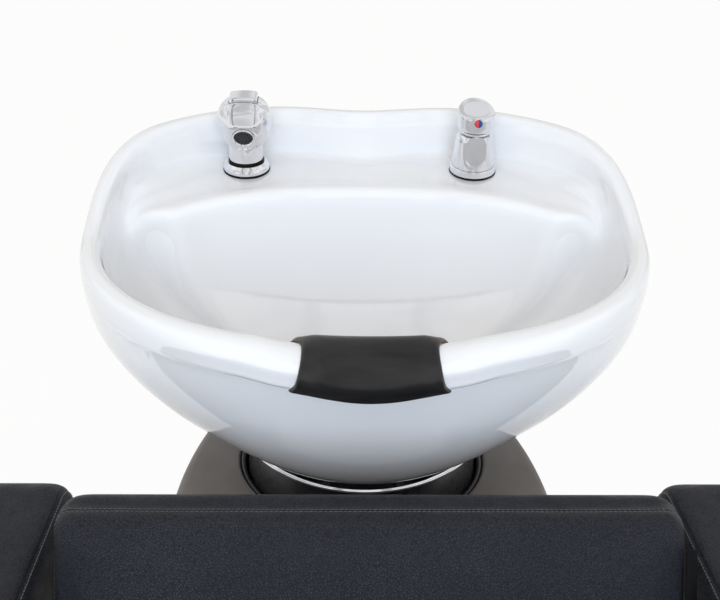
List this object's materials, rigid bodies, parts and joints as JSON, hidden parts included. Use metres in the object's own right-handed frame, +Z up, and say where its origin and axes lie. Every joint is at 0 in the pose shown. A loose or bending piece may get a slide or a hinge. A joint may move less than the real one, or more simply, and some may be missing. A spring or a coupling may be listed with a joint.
{
  "type": "salon backwash unit",
  "caption": "Upholstered salon armchair joined to a moulded pedestal that carries a tilting ceramic shampoo basin with neck rest, lever mixer, hand shower and hair strainer.",
  "frame": {"origin": "on the floor under the middle of the unit's bounding box", "axes": "+Z up, +Y from the client's feet toward the back of the basin, +X to the right as seen from the front of the chair"},
  "size_m": [0.774, 1.1815, 0.9783],
  "materials": {
    "black_gel": "satin",
    "black_painted_steel": "satin",
    "black_rubber": "matte",
    "black_tape": "matte",
    "black_vinyl": "satin",
    "blue_plastic": "gloss",
    "brass": "satin",
    "chrome_plate": "polished",
    "dark_plastic": "satin",
    "glazed_ceramic": "gloss",
    "grey_boot_plastic": "satin",
    "grey_cartridge": "satin",
    "grey_moulding": "matte",
    "plywood": "matte",
    "red_plastic": "gloss",
    "white_nylon": "satin",
    "zinc_steel": "satin"
  },
  "bodies": {
    "base": {"arm_left": "black_vinyl", "arm_right": "black_vinyl", "back_bracket_left": "black_painted_steel", "back_bracket_right": "black_painted_steel", "back_panel": "black_vinyl", "backrest_cushion": "black_vinyl", "base_plate": "black_painted_steel", "front_apron": "black_vinyl", "glide_front_left": "dark_plastic", "glide_front_right": "dark_plastic", "glide_rear_left": "dark_plastic", "glide_rear_right": "dark_plastic", "panel_screw_1": "zinc_steel", "panel_screw_2": "zinc_steel", "panel_screw_3": "zinc_steel", "panel_screw_4": "zinc_steel", "pedestal_column": "black_painted_steel", "pedestal_shell": "grey_moulding", "pivot_bolt_left": "zinc_steel", "pivot_bolt_right": "zinc_steel", "pivot_nut_left": "zinc_steel", "pivot_nut_right": "zinc_steel", "rear_panel": "grey_moulding", "recess_trim": "black_rubber", "seam_tag": "black_tape", "seat_board": "plywood", "seat_cushion": "black_vinyl", "seat_rail_front": "black_painted_steel", "seat_rail_rear": "black_painted_steel", "tie_beam_rear": "black_painted_steel", "tilt_yoke": "black_painted_steel"},
    "basin": {"basin_bowl": "glazed_ceramic", "basin_pad": "black_rubber", "foot_ring": "chrome_plate", "tilt_boot": "grey_boot_plastic", "tilt_head": "black_painted_steel", "pivot_bush_left": "white_nylon", "pivot_bush_right": "white_nylon", "waste_body": "chrome_plate", "waste_nut": "brass", "waste_seal": "black_rubber", "neck_rest": "black_gel", "mixer_gasket": "black_rubber", "mixer_body": "chrome_plate", "mixer_nut": "brass", "mixer_inlets": "brass", "mixer_bonnet": "chrome_plate", "holder_gasket": "black_rubber", "holder_flange": "chrome_plate", "holder_ring": "black_rubber", "holder_nut": "brass"},
    "strainer": {"hair_strainer": "chrome_plate"},
    "cartridge": {"mixer_cartridge": "grey_cartridge"},
    "handle": {"mixer_handle": "chrome_plate", "indicator_hot": "red_plastic", "indicator_cold": "blue_plastic"},
    "handset": {"handset_body": "chrome_plate", "spray_face": "dark_plastic", "hose_tail": "brass"},
    "button": {"spray_button": "chrome_plate"}
  },
  "joints": [
    {"name": "basin_tilt", "type": "hinge", "parent": "base", "child": "basin", "pos_m": [0, 0.382, 0.56], "axis": [1, 0, 0], "range_deg": [-12, 6]},
    {"name": "mixer_turn", "type": "hinge", "parent": "basin", "child": "cartridge", "pos_m": [0.13051, 0.52246, 0.88269], "axis": [0, -0.1392, 0.9903], "range_deg": [-45, 45]},
    {"name": "mixer_lift", "type": "hinge", "parent": "cartridge", "child": "handle", "pos_m": [0.13051, 0.51439, 0.94012], "axis": [1, 0, 0], "range_deg": [0, 12]},
    {"name": "handset_lift", "type": "slide", "parent": "basin", "child": "handset", "axis": [0, -0.1392, 0.9903], "range_m": [0, 0.16]},
    {"name": "button_press", "type": "slide", "parent": "handset", "child": "button", "axis": [0, 0.1392, -0.9903], "range_m": [0, 0.003], "stiffness_N_per_m": 400},
    {"name": "strainer_lift", "type": "slide", "parent": "basin", "child": "strainer", "axis": [0, -0.1392, 0.9903], "range_m": [0, 0.06]}
  ]
}
